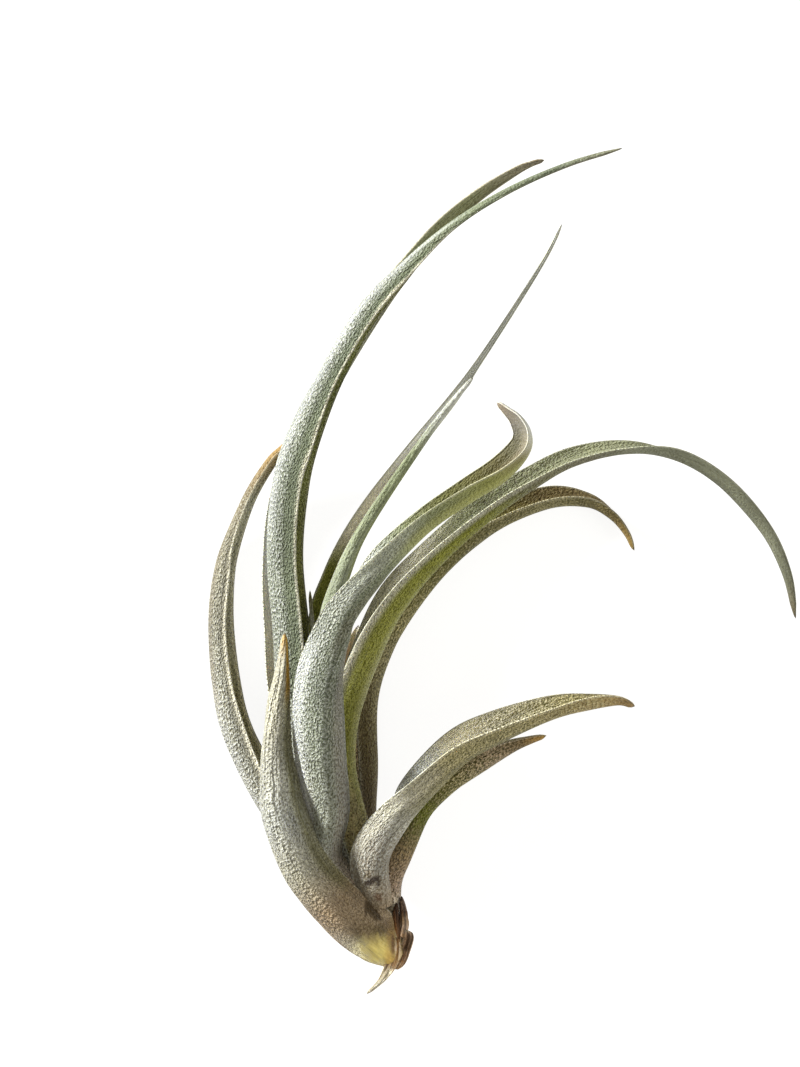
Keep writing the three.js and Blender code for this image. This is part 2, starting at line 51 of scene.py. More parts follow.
# Each station: x, y, z, flat width, curl of the margins and facing of the channel, both in degrees.
# Facing 0 looks to the left of the leaf's run, 90 looks up, 180 to the right and -90 down.
STATIONS = {
    "scale_dry_left": [(1, 1.6, 17.4, 1.6, 50, -60), (0.9, 4.4, 17.4, 2, 50, -60),
        (0.8, 7, 17.2, 1.6, 50, -60), (0.8, 9.4, 16.8, 0.6, 40, -60)],
    "scale_dry_right": [(2.2, 2.6, 16.2, 2, 55, -40), (2.5, 5, 16.2, 2.6, 55, -40),
        (2.2, 7.8, 16, 2, 50, -40), (1.8, 10.7, 15.6, 0.6, 40, -40)],
    "scale_dry_curled": [(0.6, -3.9, 15.6, 1.2, 50, 90), (1.5, -2.3, 16, 3.2, 70, 85),
        (2.1, 0.1, 16.4, 4.6, 75, 80), (2.7, 2.4, 16.8, 4.4, 70, 80), (2.8, 4, 17, 1.6, 50, 80)],
    "strip_dry": [(0.9, 2.2, 18.6, 0.8, 40, 90), (0.3, -0.6, 18.6, 1.4, 40, 90),
        (-0.2, -2.8, 17.8, 1.5, 40, 90), (-1.5, -5.2, 16.8, 1.1, 40, 80), (-2.9, -7, 16, 0.8, 40, 80),
        (-5.1, -9, 15.4, 0.4, 40, 80)],
    "leaf_front_left_short": [(0.6, -2, 15.6, 6.6, 55, -100), (-1.8, 0.1, 17.2, 13, 62, -102),
        (-5, 3.1, 18.8, 16.8, 65, -105), (-11.2, 8.2, 21, 16, 68, -108), (-18, 16.5, 22, 15.5, 70, -112),
        (-22.3, 27.4, 22.5, 14.5, 72, -115), (-23.1, 33.8, 22.5, 12.3, 72, -115),
        (-23.4, 40.4, 22.3, 9.5, 74, -115), (-23, 48, 22.2, 6.8, 72, -115),
        (-22.3, 53.2, 22.2, 4.6, 68, -110), (-21.7, 59, 22.3, 2.2, 60, -105),
        (-21.4, 63.6, 22.4, 0.9, 50, -100)],
    "leaf_front_right_upper": [(-2.4, 8.8, 18, 9, 70, -70), (-3.7, 18.2, 20, 12.8, 74, -55),
        (0.2, 26.2, 21.5, 12.8, 78, -25), (4, 31.6, 22.3, 13, 80, 8), (12.6, 40, 23.5, 13, 80, 24),
        (20.3, 44.1, 24, 11.7, 78, 31), (31.2, 48.2, 24.3, 8.4, 75, 30), (39.6, 49.9, 24.2, 6.8, 70, 6),
        (45.2, 50.2, 23.8, 4.4, 62, 0), (48.4, 48.9, 23.4, 2.6, 50, 0)],
    "leaf_centre_hooked": [(-6, 11, 17, 8, 70, -90), (-13, 18.4, 18.6, 10, 70, -88),
        (-12.8, 28.4, 21, 14, 72, -85), (-13.8, 38, 23.5, 15.8, 72, -82), (-14.1, 47, 25, 16, 72, -78),
        (-13.5, 55, 26.5, 15.4, 75, -68), (-11.4, 63.3, 28.5, 12.8, 78, -45),
        (-9.2, 68.4, 29.8, 11.6, 80, -25), (-2.7, 77.3, 32, 11, 80, 8), (6, 85.5, 34, 9.2, 80, 14),
        (14.9, 91.6, 36, 9.2, 78, 19), (21.3, 95.7, 37.2, 9, 70, 26), (25.3, 99.8, 38, 7.6, 60, 32),
        (25.9, 102.9, 38.2, 5.8, 55, 36), (24.5, 105.7, 38, 3.8, 50, 40), (22.6, 107.5, 37.6, 2.2, 50, 40),
        (20.6, 109.2, 37.2, 1, 50, 40)],
    "leaf_left_outer": [(-6, 8, 8.3, 12, 70, 150), (-12.4, 15.9, 7.9, 13, 70, 150),
        (-21.6, 25.3, 6.9, 12.5, 75, 155), (-27.6, 35.4, 5.7, 12.6, 80, 164),
        (-31.6, 44.4, 4.3, 12, 80, 170), (-33.6, 53.1, 3.1, 10.6, 80, 165), (-34.7, 64.5, 2.5, 9.5, 80, 164),
        (-34, 74.6, 2.3, 8.2, 80, 170), (-32.5, 81.4, 2.5, 6.6, 75, 163), (-29, 90.4, 3.3, 5, 70, 162),
        (-24.7, 97.5, 4.3, 4, 65, 160), (-21.9, 100.5, 4.9, 3, 60, 160), (-19.3, 103.5, 5.7, 1.3, 50, 160)],
    "leaf_front_right_lower": [(-0.6, 6.6, 14, 9, 70, -60), (-0.6, 13.6, 15, 10.5, 72, -50),
        (1.4, 19, 15.5, 10.6, 75, -35), (5.1, 27.5, 15.5, 10.6, 78, -20), (10.1, 32.8, 15.2, 9.8, 78, -10),
        (15.9, 36.8, 15, 8.6, 76, -5), (22.8, 40.4, 14.8, 6.6, 70, 0), (27.6, 42, 14.6, 4.2, 60, 0),
        (31, 42.8, 14.4, 1.6, 50, 0)],
    "leaf_left_tall": [(-8, 14, 13, 9, 70, 165), (-12.4, 26, 14, 12, 72, 167),
        (-17.2, 40, 14.6, 13.4, 76, 169), (-19.6, 52, 15.2, 14.4, 80, 171), (-20, 62, 16, 15, 80, 171),
        (-21.3, 78, 18, 14.4, 80, 171), (-20.4, 92, 20, 15, 80, 170), (-17.7, 101.8, 21.5, 14, 80, 174),
        (-12.4, 113.9, 23.5, 10, 80, 170), (-5, 126.6, 25.5, 9.2, 78, 173), (2.7, 135.3, 26.8, 7, 72, 180),
        (11.5, 144, 28, 3.2, 62, 200), (22.4, 150.9, 29, 1.9, 55, 208), (34.4, 156.2, 29.6, 1.3, 50, 210),
        (45.7, 159.6, 30, 0.8, 50, 210)],
    "leaf_right_long": [(-4, 14, 12.5, 9, 70, -20), (-6.6, 22, 13.5, 11, 72, -15),
        (-10.4, 36, 15, 12.5, 76, -8), (-9.5, 48, 16, 12.5, 78, -2), (-5.1, 60.5, 17.5, 12.2, 80, 4),
        (0.4, 70.5, 18.5, 11.8, 80, 17), (7.8, 78.8, 19.5, 9.8, 80, 24), (18.7, 88.2, 20.5, 9.2, 80, 34),
        (27.4, 93.8, 21, 7.8, 78, 37), (36, 98.3, 21, 6.3, 75, 41), (46.6, 100.4, 20.5, 5.1, 70, 26),
        (57, 99, 19, 5.2, 65, -16), (66.7, 93.3, 16.5, 5.4, 65, -22), (74.9, 84.2, 13.5, 5, 65, -22),
        (79.4, 75.2, 10.5, 3.8, 60, -20), (81.4, 66.1, 8, 1.2, 50, -20)],
    "leaf_right_middle": [(-3, 10.9, 7.5, 9, 70, 40), (-5.8, 23.9, 6.5, 11, 72, 30),
        (-5.8, 36, 5.8, 11.5, 76, 20), (-5.7, 50, 5, 11, 78, 12), (-2.2, 61.1, 4.4, 10.5, 80, 8),
        (4, 70.8, 3.8, 10, 80, 12), (11.9, 79.6, 3.2, 9.5, 80, 20), (20.7, 86, 2.6, 9, 78, 33),
        (31.5, 90.3, 2, 7.6, 75, 34), (39.6, 90.1, 2, 5.8, 70, 14), (44.6, 87.2, 2.2, 4.2, 65, 0),
        (47.7, 83.4, 2.4, 2.8, 60, 0), (49.1, 79.8, 2.6, 1.2, 50, 0)],
    "leaf_centre_short": [(-11.4, 24, 17, 4.4, 60, -90), (-12, 38, 18.5, 4.6, 62, -90),
        (-13, 54, 19.5, 4.4, 64, -88), (-12.8, 65.6, 20.4, 4.2, 66, -80), (-10.2, 74, 21.2, 4, 66, -75),
        (-6.8, 82, 22, 3, 64, -72), (-1.9, 90, 22.8, 2.4, 62, -70), (4, 98.6, 23.6, 1.9, 60, -70),
        (9.3, 106, 24.2, 1.4, 55, -70), (13.1, 110.8, 24.6, 1.1, 50, -70),
        (16.2, 114.4, 24.8, 0.7, 50, -70)],
    "leaf_left_rear": [(-5, 11, 8, 9, 70, 100), (-13.6, 26, 6.5, 9.4, 65, 105), (-19.6, 40, 5.5, 9, 60, 108),
        (-22.4, 52, 5.4, 8.6, 60, 110), (-23.2, 63, 5.6, 8.2, 60, 110), (-23.7, 76, 6.6, 7.8, 60, 110),
        (-22.5, 89.6, 8, 7.2, 60, 110), (-18, 104, 10, 6.2, 60, 112), (-11, 117, 12, 5.6, 60, 114),
        (-3, 129.4, 14, 5, 60, 116), (2.4, 136.4, 15, 4.4, 60, 118), (9.8, 144.9, 16, 3.6, 58, 118),
        (17.2, 151.1, 16.8, 2.8, 55, 118), (24.4, 155.7, 17.4, 1.9, 52, 118),
        (27.9, 157.3, 17.7, 1.1, 50, 118), (30.5, 158, 18, 0.7, 50, 118)],
    "leaf_centre_long": [(-7.4, 18, 12, 4.5, 60, 90), (-12, 38, 12.4, 5, 60, 90),
        (-14.4, 54, 13.2, 5, 60, 90), (-14.6, 66.4, 14, 5, 60, 95), (-12.2, 74.5, 14.8, 4.6, 60, 100),
        (-8.6, 82.2, 15.6, 4.2, 60, 100), (-3.4, 90.2, 16.6, 3.9, 60, 100), (4.4, 100.6, 18, 2.9, 60, 100),
        (12.2, 110.3, 19.4, 2.1, 55, 100), (17.3, 117.5, 20.2, 1.2, 50, 100),
        (24.5, 128.4, 21.2, 0.8, 50, 100), (30.6, 138.3, 22, 0.6, 50, 100), (33.9, 145, 22.4, 0.5, 50, 100)],
    "leaf_centre_youngest": [(-11, 24, 15.4, 2.6, 60, 180), (-13.4, 42, 15.8, 2.6, 60, 180),
        (-15, 56, 16.4, 2.2, 60, 180), (-15.9, 66, 16.9, 1.4, 55, 180), (-16.4, 72, 17.2, 0.9, 50, 180)],
    "leaf_back_short": [(-1.6, 2.6, 9.2, 8, 70, 90), (-3.4, 9, 7, 11, 68, 90), (-7.4, 20, 3.1, 13.5, 60, 90),
        (-10, 34, 2.8, 13, 55, 90), (-10.4, 44, 3, 11, 52, 90), (-9.4, 52, 3.2, 7.5, 50, 90),
        (-8, 59, 3.6, 4, 50, 90), (-6.8, 64.8, 4.2, 1.3, 50, 90)],
}

# How much wider a piece is than its stations say, at even steps from foot to tip
WIDER = {
    "scale_dry_right": (1.2, 1.1),
    "strip_dry": (1.2, 1.5, 1.6, 1.5, 1.2, 1.1),
    "leaf_right_long": (1, 1, 1, 1.05, 1.06, 1.03, 1, 0.96, 0.9, 0.88, 0.86, 0.85),
}

# The section of a leaf
MARGIN = 0.34  # thickness at the margins
RIB_LEAST = 0.6  # thickness at the midrib of a leaf of no width
RIB_SLOPE = 0.11  # how the midrib thickens with the leaf's width
RIB_MOST = 2.0
NARROW, BROAD = 3, 9  # widths between which the midrib gets its keel
KEEL = 0.5  # exponent of the turn from midrib to margin: 1 is round, less is keeled
FLARE = math.radians(14)  # how far the outer half of a broad leaf waves about that turn
RIM_ANGLES = np.radians([50, 0, -50])
LEAF_DOME = 0.35  # how far the foot bulges
TIP = 0.35  # share of the last stretch over which the section closes to a point
TIP_ROUND = 0.5  # exponent of that closing
THIN = {"scale_dry_left": 0.5, "scale_dry_right": 0.5, "scale_dry_curled": 0.55, "strip_dry": 0.6}

# Spacing of the mesh
STEP_ALONG = 0.55  # between the rings
STEP_DRY = 0.22  # the same on the dry pieces
STEP_ACROSS = 0.5  # between the columns of a broad leaf
COLUMNS_LEAST, COLUMNS_MOST = 8, 18  # columns in half a leaf
RINGS_LEAST = 12
SUMS = 8  # steps in a column when the section is summed up
SAMPLES = 40  # samples to a station when the length is measured

# Noise: its table repeats after LATTICE units. Each layer of relief has a size across and along, a shift,
# a step of the seed and a weight.
LATTICE = 128
FOLD_LAYERS = [(0.75, 9, 40, 0, 1.0), (0.4, 3.5, 80, 1, 0.5)]
DENT_LAYERS = [(4, 8, 0, 2, 1.0)]
CREASE_LAYERS = [(1.6, 2.6, 20, 0, 1.0), (0.7, 1.5, 60, 3, 0.4)]

# Depth of the relief: folds on most leaves and where they differ, dents, and creases of the dry pieces
FOLDS_MOST = 0.05
FOLDS = {"leaf_front_left_short": 0.12, "leaf_front_right_upper": 0.07, "leaf_left_outer": 0.04}
DENTS = 0.10
CREASES = {"scale_dry_left": 0.35, "scale_dry_right": 0.35, "scale_dry_curled": 1.0, "strip_dry": 0.4}
RELIEF_EDGE = 0.8  # share of half the width from which it fades towards the margin
RELIEF_WIDTH = 6  # width from which a leaf has all of it
FOOT_RELIEF = 0.3  # how strong it is at a leaf's foot
FOOT_FADE = (0.1, 0.4)  # shares of the length between which it grows to its whole depth
SIDE_SHIFT = 37  # keeps the noise of the two sides apart
HALF_LEAST = 0.1  # least half width that a share across is taken of
TINY = 1e-9  # least length that a normal is divided by

# The stem: points of its line, and its radius at as many places along it
STEM_LINE = [(-0.8, 0.6, 12.4), (-2.4, 5, 12.6), (-5, 12, 13), (-8, 20, 13.6)]
STEM_RADIUS = [3.2, 4.4, 4.0, 2.2]
STEM_SIDES = 48
STEM_DOME = 1.0  # how far its ends bulge
STEM_SUNK = 0.2  # how far inside that radius its skin lies
SCAR_DEPTH, SCAR_RATE = 0.12, 2.6  # rings of old leaf scars: depth, and radians a millimetre
ROUGH_DEPTH, ROUGH_TURN, ROUGH_SHIFT, ROUGH_SEED = 0.25, 5, 20, 5  # noise over them
STEM_SPAN = 4  # millimetres across for a radian round it, in its material
STEM_PLACE = 900  # keeps its grain apart from that of the leaves

# Depth of the fine lengthwise wrinkles in heights of a grain, from foot to tip: most leaves, then the others
WRINKLES_MOST = (0.3,)
WRINKLES = {
    "leaf_front_left_short": (0.35, 0.35, 1.1, 1.1, 0.8),
    "leaf_front_right_upper": (0.3, 0.7, 0.7, 0.5),
    "leaf_centre_hooked": (0.3, 0.3, 0.3, 0.15, 0.05, 0.05),
    "strip_dry": (1.2,),
    "scale_dry_curled": (1.5,),
    "scale_dry_left": (1.2,),
    "scale_dry_right": (1.2,),
    "stem": (1.5,),
}

# How strong the grain is from foot to tip, where it isn't 1
GRITS = {
    "leaf_front_left_short": (0.4, 0.5, 0.7, 0.85, 0.9, 0.9),
    "leaf_centre_hooked": (1.0, 1.1, 1.1, 1.0, 0.6, 0.3, 0.15),
    "leaf_left_outer": (0.9,),
    "leaf_left_tall": (0.9, 0.9, 0.9, 0.9, 0.6),
    "leaf_right_long": (1.1, 1.0, 0.9, 0.6, 0.4, 0.35),
    "leaf_right_middle": (1.0, 0.8, 0.6, 0.5),
    "leaf_centre_long": (0.8, 0.8, 0.5),
    "leaf_centre_short": (0.8, 0.5),
    "leaf_left_rear": (0.7,),
    "leaf_front_right_upper": (0.5, 0.8, 0.8),
}
NARROW_GRIT = 0.35  # how strong it is where a leaf is narrow
GRIT_WIDTHS = (2, 10)  # widths between which it grows to its whole strength
PLACE_SIDE, PLACE_LEAF = 60, 200  # keep the grain of the two sides and of each leaf apart

# Colours as the eye reads them, 0 to 255: living and dried tissue, and the scales that coat it. The
# near-white colour is painted light and highlight, and rim a painted highlight over a pale fringe of scales
PALETTE = {
    "green": (112, 118, 26), "apple": (148, 150, 40), "deep": (62, 76, 24), "moss": (106, 116, 84),
    "olive": (104, 100, 40), "sage": (98, 106, 82), "stone": (118, 114, 92), "mauve": (122, 108, 84),
    "umber": (98, 82, 46), "brown": (76, 60, 30), "drab": (106, 101, 56), "ochre": (158, 124, 60),
    "gold": (190, 146, 40), "rust": (178, 128, 74), "lemon": (232, 212, 120), "butter": (228, 220, 170),
    "dark": (40, 24, 14), "bark": (104, 70, 38), "pepper": (120, 100, 74), "ash": (182, 163, 132),
    "silver": (216, 219, 210), "pearl": (206, 203, 182), "celadon": (180, 187, 148), "lime": (168, 170, 92),
    "mist": (160, 166, 142), "khaki": (154, 147, 100), "tan": (180, 156, 114), "straw": (232, 206, 172),
    "rose": (206, 180, 156), "cream": (248, 242, 216), "painted_light_white": (244, 247, 243), "wool": (224, 212, 158),
    "wheat": (164, 152, 86), "lilac": (180, 176, 178), "rim": (232, 230, 210),
}

# Paint along each leaf, for the back and then for the channel: share of its length, tissue, scales and how
# much of it the scales cover
PAINT = {
    "leaf_front_left_short": (
        [(0.0, "lemon", "straw", 0.5), (0.1, "pepper", "ash", 0.55), (0.24, "pepper", "ash", 0.36),
         (0.36, "stone", "pearl", 0.48), (0.5, "stone", "silver", 0.56), (0.75, "stone", "pearl", 0.66),
         (0.92, "stone", "pearl", 0.58), (1.0, "ochre", "pearl", 0.5)],
        [(0.0, "umber", "khaki", 0.4), (1.0, "ochre", "tan", 0.4)]),
    "leaf_front_right_upper": (
        [(0.0, "pepper", "ash", 0.5), (0.1, "mauve", "silver", 0.34), (0.2, "mauve", "silver", 0.4),
         (0.3, "stone", "pearl", 0.62), (0.45, "olive", "wool", 0.55), (0.7, "olive", "wool", 0.5),
         (0.9, "ochre", "wool", 0.5), (1.0, "ochre", "tan", 0.4)],
        # the channel from 0.3 to 0.5 is painted light: near-white where the sun falls on it
        [(0.0, "stone", "khaki", 0.5), (0.3, "painted_light_white", "painted_light_white", 1.0), (0.4, "silver", "painted_light_white", 1.0),
         (0.5, "wheat", "cream", 0.85), (0.62, "olive", "cream", 0.5), (0.85, "olive", "wool", 0.5),
         (1.0, "ochre", "khaki", 0.4)]),
    "leaf_centre_hooked": (
        [(0.0, "mauve", "rose", 0.7), (0.12, "mauve", "silver", 0.65), (0.3, "sage", "silver", 0.46),
         (0.45, "sage", "silver", 0.42), (0.62, "moss", "celadon", 0.56), (0.72, "green", "celadon", 0.55),
         (0.84, "green", "lime", 0.7), (0.9, "olive", "khaki", 0.6), (0.94, "ash", "silver", 0.8),
         (1.0, "ash", "silver", 0.7)],
        # the near-white channel at half the length is a painted highlight along the near margin
        [(0.0, "olive", "khaki", 0.4), (0.5, "mist", "painted_light_white", 0.8), (0.6, "sage", "silver", 0.65),
         (0.68, "drab", "celadon", 0.5), (0.76, "olive", "khaki", 0.2), (0.86, "umber", "khaki", 0.15),
         (0.95, "stone", "lilac", 0.3), (1.0, "stone", "rose", 0.4)]),
    "leaf_left_outer": (
        [(0.0, "stone", "silver", 0.32), (0.4, "stone", "silver", 0.36), (0.7, "stone", "pearl", 0.44),
         (0.85, "umber", "pearl", 0.35), (1.0, "ochre", "ochre", 0.2)],
        [(0.0, "olive", "wool", 0.7), (0.28, "olive", "cream", 0.95), (0.42, "olive", "wool", 0.55),
         (0.6, "stone", "cream", 0.95), (0.85, "drab", "pearl", 0.6), (1.0, "gold", "tan", 0.3)]),
    "leaf_front_right_lower": (
        # the foot is painted lighter, making up for the shade it lies in
        [(0.0, "mauve", "cream", 0.7), (0.12, "mauve", "rose", 0.6), (0.25, "mauve", "tan", 0.6),
         (0.42, "green", "khaki", 0.2), (0.6, "olive", "wool", 0.4), (0.78, "drab", "straw", 0.5),
         (0.9, "umber", "tan", 0.4), (1.0, "ochre", "gold", 0.4)],
        [(0.0, "olive", "khaki", 0.35), (1.0, "umber", "khaki", 0.35)]),
    "leaf_left_tall": (
        [(0.0, "stone", "silver", 0.4), (0.3, "sage", "silver", 0.35), (0.45, "sage", "silver", 0.31),
         (0.55, "sage", "silver", 0.36), (0.64, "sage", "silver", 0.46), (0.71, "sage", "silver", 0.27),
         (0.82, "moss", "mist", 0.3), (0.93, "sage", "mist", 0.28), (1.0, "stone", "mist", 0.35)],
        # the channel up to 0.3 is painted lighter, making up for the shade it lies in
        [(0.0, "green", "lime", 0.9), (0.3, "green", "lime", 0.7), (0.6, "green", "celadon", 0.25),
         (1.0, "mauve", "rose", 0.45)]),
    "leaf_right_long": (
        [(0.0, "ochre", "wool", 0.6), (0.14, "drab", "wool", 0.72), (0.26, "green", "cream", 0.7),
         (0.45, "green", "celadon", 0.6), (0.54, "drab", "celadon", 0.3), (0.64, "stone", "mist", 0.28),
         (0.7, "stone", "mist", 0.58), (0.95, "stone", "mist", 0.5), (1.0, "mauve", "mist", 0.3)],
        # the channel from 0.26 to 0.42 is painted light: paler, making up for the shade between it and
        # leaf_centre_hooked
        [(0.0, "umber", "khaki", 0.4), (0.26, "celadon", "pearl", 1.0), (0.42, "celadon", "pearl", 0.95),
         (0.5, "stone", "celadon", 0.45), (0.65, "stone", "celadon", 0.5), (1.0, "stone", "mist", 0.4)]),
    "leaf_right_middle": (
        [(0.0, "umber", "khaki", 0.35), (0.1, "brown", "umber", 0.4), (0.25, "umber", "khaki", 0.4),
         (0.4, "drab", "wool", 0.38), (0.6, "olive", "wool", 0.24), (0.85, "drab", "wool", 0.4),
         (0.94, "umber", "khaki", 0.3), (1.0, "ochre", "khaki", 0.4)],
        [(0.0, "dark", "brown", 0.2), (0.35, "brown", "khaki", 0.3), (0.6, "green", "khaki", 0.22),
         (0.8, "umber", "khaki", 0.3), (1.0, "umber", "tan", 0.4)]),
    "leaf_centre_short": (
        [(0.0, "sage", "celadon", 0.5), (0.5, "moss", "mist", 0.6), (0.8, "moss", "celadon", 0.4),
         (0.9, "sage", "silver", 0.6), (1.0, "stone", "silver", 0.6)],
        [(0.0, "green", "celadon", 0.4), (1.0, "olive", "khaki", 0.4)]),
    "leaf_left_rear": (
        [(0.0, "stone", "silver", 0.5), (0.6, "sage", "silver", 0.5), (1.0, "umber", "tan", 0.4)],
        # the channel from 0.3 to 0.55 is painted light: near-white, making up for the shade it lies in
        [(0.0, "mist", "silver", 0.8), (0.3, "mist", "cream", 0.8), (0.42, "silver", "painted_light_white", 1.0),
         (0.55, "mist", "silver", 0.8), (0.75, "moss", "celadon", 0.4), (0.9, "olive", "celadon", 0.5),
         (1.0, "mauve", "pearl", 0.4)]),
    "leaf_centre_long": (
        [(0.0, "sage", "celadon", 0.4), (1.0, "stone", "silver", 0.45)],
        # the channel is dark green up to 0.42, partly its green tissue and partly a painted shadow of
        # leaf_left_tall, and pale from 0.47 to 0.73 with painted light
        [(0.0, "deep", "lime", 0.5), (0.42, "green", "lime", 0.4), (0.47, "moss", "cream", 0.75),
         (0.53, "celadon", "cream", 0.9), (0.66, "pearl", "painted_light_white", 1.0), (0.73, "mist", "silver", 0.7),
         (1.0, "mist", "silver", 0.6)]),
    "leaf_centre_youngest": (
        # the back from 0.7 to 0.86 is painted lighter, making up for the shade it lies in
        [(0.0, "sage", "celadon", 0.7), (0.7, "pearl", "silver", 0.8), (0.86, "mist", "silver", 0.9),
         (1.0, "olive", "khaki", 0.4)],
        [(0.0, "olive", "khaki", 0.3)]),
    "leaf_back_short": (
        [(0.0, "stone", "tan", 0.4), (0.6, "umber", "khaki", 0.45), (0.85, "rust", "straw", 0.4),
         (1.0, "rust", "tan", 0.3)],
        # the orange-brown tip of the channel is painted lighter, as painted light where the sun falls on it
        [(0.0, "dark", "brown", 0.3), (0.7, "brown", "umber", 0.4), (0.82, "gold", "straw", 0.8),
         (0.92, "gold", "straw", 0.8), (1.0, "straw", "cream", 0.9)]),
    "scale_dry_left": (
        [(0.0, "bark", "rust", 0.35), (0.5, "dark", "bark", 0.6), (1.0, "dark", "bark", 0.4)],
        [(0.0, "dark", "bark", 0.3)]),
    "scale_dry_right": (
        [(0.0, "rust", "straw", 0.5), (0.25, "bark", "rose", 0.6), (0.45, "bark", "tan", 0.3),
         (0.6, "dark", "bark", 0.45), (1.0, "dark", "rose", 0.3)],
        [(0.0, "dark", "bark", 0.3)]),
    "scale_dry_curled": (
        [(0.0, "rust", "straw", 0.5), (0.5, "bark", "tan", 0.5), (1.0, "bark", "rose", 0.45)],
        [(0.0, "rust", "straw", 0.8), (0.25, "rust", "rose", 0.7), (0.45, "bark", "rose", 0.6),
         (0.62, "bark", "rose", 0.45), (0.8, "bark", "rose", 0.6), (1.0, "bark", "rose", 0.8)]),
    "strip_dry": (
        [(0.0, "ochre", "straw", 0.5), (1.0, "umber", "straw", 0.5)],
        [(0.0, "bark", "rust", 0.6), (0.3, "rust", "tan", 0.6), (0.4, "rust", "straw", 0.5),
         (0.5, "straw", "cream", 0.5), (0.8, "rose", "cream", 0.8), (1.0, "rose", "cream", 0.6)]),
    "stem": ([(0.0, "umber", "khaki", 0.35), (1.0, "olive", "khaki", 0.35)],),
}

# Bands along a leaf, some of them painted highlight and shade: side, colour, middle and half breadth in
# shares of half the width, start and end in shares of the length, and strength
BANDS = {
    "leaf_front_left_short": [("back", "gold", -0.75, 0.3, 0.83, 1.1, 0.95),
        ("back", "gold", -0.2, 0.9, 0.97, 1.1, 0.7), ("back", "cream", 0.35, 0.4, 0.04, 0.17, 0.4),
        ("back", "olive", -0.85, 0.4, 0.25, 0.85, 0.6), ("back", "olive", -0.6, 0.16, 0.3, 0.75, 0.4)],
    "leaf_front_right_upper": [("back", "olive", 0.2, 0.35, 0.3, 0.75, 0.5),
        ("back", "pearl", 0.75, 0.35, 0.15, 0.45, 0.4)],
    # the near-white and silver bands on the left flank are a painted highlight; the mauve band on the right
    # is partly painted shade, partly the browner tint of that side
    "leaf_centre_hooked": [("back", "mauve", -0.5, 0.5, 0.05, 0.48, 0.45),
        ("back", "moss", 0.1, 0.4, 0.1, 0.62, 0.45), ("back", "painted_light_white", 0.85, 0.4, 0.12, 0.45, 0.5),
        ("back", "umber", 0.1, 0.2, 0.45, 0.6, 0.3), ("back", "silver", 0.75, 0.4, 0.5, 0.7, 0.4),
        ("back", "lime", 0.25, 0.5, 0.66, 0.9, 0.7), ("channel", "deep", -0.85, 0.7, 0.64, 0.93, 0.42)],
    # the near-white band on the lit flank is a painted highlight, and the stone band towards the right
    # margin is painted shade
    "leaf_left_outer": [("back", "painted_light_white", -0.25, 0.3, 0.0, 0.5, 0.2),
        ("back", "mauve", -0.2, 0.3, 0.45, 0.9, 0.4), ("back", "stone", -0.9, 0.25, 0.1, 0.8, 0.6),
        ("back", "cream", -0.98, 0.08, 0.2, 0.8, 0.7), ("channel", "deep", 0.8, 0.14, 0.1, 0.95, 0.4),
        ("channel", "cream", 1.0, 0.1, 0.2, 0.9, 0.8)],
    # the near-white band on the lit left flank is a painted highlight; the moss band towards the right is
    # partly painted shade, partly greener tissue
    "leaf_left_tall": [("back", "painted_light_white", -0.22, 0.24, 0.4, 0.8, 0.4),
        ("back", "moss", -0.84, 0.34, 0.1, 0.78, 0.8), ("back", "cream", -0.99, 0.06, 0.1, 0.8, 0.7)],
    "leaf_right_long": [("back", "pearl", 0.97, 0.26, 0.15, 0.56, 0.7),
        ("back", "apple", 0.5, 0.46, 0.12, 0.52, 0.9), ("back", "lime", 0.05, 0.26, 0.08, 0.5, 0.75)],
    "leaf_right_middle": [("back", "umber", 0.8, 0.5, 0.0, 0.36, 0.5)],
    "leaf_centre_short": [("back", "green", -0.7, 0.5, 0.4, 0.8, 0.5)],
    # the straw band is the pale fold, partly its own colour and partly painted light; the dark band is
    # painted shade in the hollow of the curl
    "scale_dry_curled": [("channel", "straw", -0.4, 0.42, -0.1, 1.1, 1.0),
        ("channel", "dark", 0.32, 0.32, 0.5, 0.95, 0.68), ("channel", "rose", 0.95, 0.36, 0.3, 1.1, 0.9),
        ("channel", "cream", 0.0, 1.2, 0.97, 1.2, 0.8)],
    "strip_dry": [("channel", "bark", 0.6, 0.3, -0.1, 0.55, 0.8)],
    "scale_dry_right": [("back", "dark", 0.9, 0.3, 0.1, 1.1, 0.8),
        ("back", "rose", 0.2, 0.35, 0.1, 0.5, 0.5)],
}

